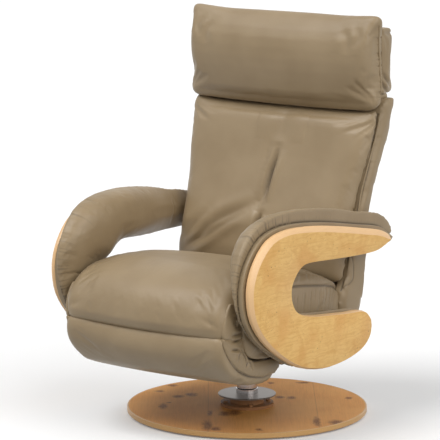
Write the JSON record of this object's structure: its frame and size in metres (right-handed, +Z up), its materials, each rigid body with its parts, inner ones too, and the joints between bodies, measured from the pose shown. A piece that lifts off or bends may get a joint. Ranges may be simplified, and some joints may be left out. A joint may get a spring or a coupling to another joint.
{
  "type": "recliner",
  "caption": "Swivel recliner with a tall leather back, tilting head section, C-shaped wooden arms, fold-out footrest and a round wooden base.",
  "frame": {"origin": "centre of the round base on the floor, on the swivel axis", "axes": "+Z up along the swivel axis, -Y the way the sitter faces, +X the sitter's left"},
  "size_m": [0.7374, 0.8562, 1.1316],
  "materials": {
    "black_rubber": "matte moulded rubber",
    "base_veneer": "satin lacquered knotty veneer",
    "light_lipping": "satin lacquered lipping",
    "dark_steel": "dark grey powder coat",
    "stainless": "brushed stainless steel",
    "zinc": "zinc plated",
    "black_plastic": "matte black",
    "bronze": "sintered bronze",
    "plywood": "raw plywood",
    "webbing": "woven elastic webbing",
    "leather": "semi-matt taupe leather",
    "black_cloth": "black non-woven cloth",
    "black_paint": "black enamel",
    "arm_veneer": "satin lacquered light veneer"
  },
  "bodies": {
    "base": {"floor_glides": "black_rubber", "base_disc": "base_veneer", "base_lipping": "light_lipping", "base_counterplate": "dark_steel", "base_flange": "dark_steel", "base_bolts": "dark_steel", "column_tube": "dark_steel", "cover_plate": "stainless", "column_collar": "stainless", "thrust_washers": "black_plastic", "column_retainer": "dark_steel"},
    "seat": {"swivel_sleeve": "stainless", "bearing_bushes": "bronze", "swivel_plate": "dark_steel", "swivel_bolts": "dark_steel", "seat_cross_rails": "dark_steel", "seat_rail_left": "plywood", "seat_rail_right": "plywood", "seat_front_rail": "plywood", "seat_rear_rail": "plywood", "seat_webbing": "webbing", "seat_cushion": "leather", "seat_side_left": "leather", "seat_side_right": "leather", "underside_cover": "black_cloth", "recline_brackets": "dark_steel", "recline_bushes": "bronze", "frame_bolts": "zinc", "footrest_brackets": "dark_steel", "footrest_pins": "zinc", "gas_spring_cylinder": "black_paint", "arm_panel_left": "arm_veneer", "arm_panel_right": "arm_veneer", "arm_board_left": "plywood", "arm_board_right": "plywood", "arm_pad_left": "leather", "arm_pad_right": "leather", "arm_spacers": "black_plastic", "arm_tubes": "dark_steel", "arm_bolts": "zinc"},
    "back": {"recline_shaft": "dark_steel", "hinge_arms": "dark_steel", "hinge_bolts": "zinc", "recline_lever": "dark_steel", "back_frame": "plywood", "back_webbing": "webbing", "back_cushion": "leather", "back_side_left": "leather", "back_side_right": "leather", "back_rear_cover": "leather", "head_hinge_plates": "dark_steel", "head_bolts": "zinc"},
    "head": {"head_hinge_arms": "dark_steel", "head_board": "plywood", "head_pad": "leather", "head_rear_pad": "leather"},
    "footrest": {"footrest_arms": "dark_steel", "footrest_board": "plywood", "footrest_pad": "leather"},
    "rod": {"gas_spring_rod": "stainless"}
  },
  "joints": [
    {"name": "swivel", "type": "hinge", "parent": "base", "child": "seat", "pos_m": [0, 0, 0.07], "axis": [0, 0, 1], "continuous": true},
    {"name": "recline", "type": "hinge", "parent": "seat", "child": "back", "pos_m": [0, 0.095, 0.33], "axis": [-1, 0, 0], "range_deg": [0, 32]},
    {"name": "head_tilt", "type": "hinge", "parent": "back", "child": "head", "pos_m": [0, 0.212, 0.882], "axis": [1, 0, 0], "range_deg": [0, 20]},
    {"name": "footrest_swing", "type": "hinge", "parent": "seat", "child": "footrest", "pos_m": [0, -0.484, 0.343], "axis": [-1, 0, 0], "range_deg": [0, 85]},
    {"name": "rod_slide", "type": "slide", "parent": "seat", "child": "rod", "axis": [0, -1, 0], "range_m": [0, 0.0305]}
  ],
  "couplings": [
    {"joint": "rod_slide", "follows": "recline", "m_per_rad": 0.05429}
  ]
}
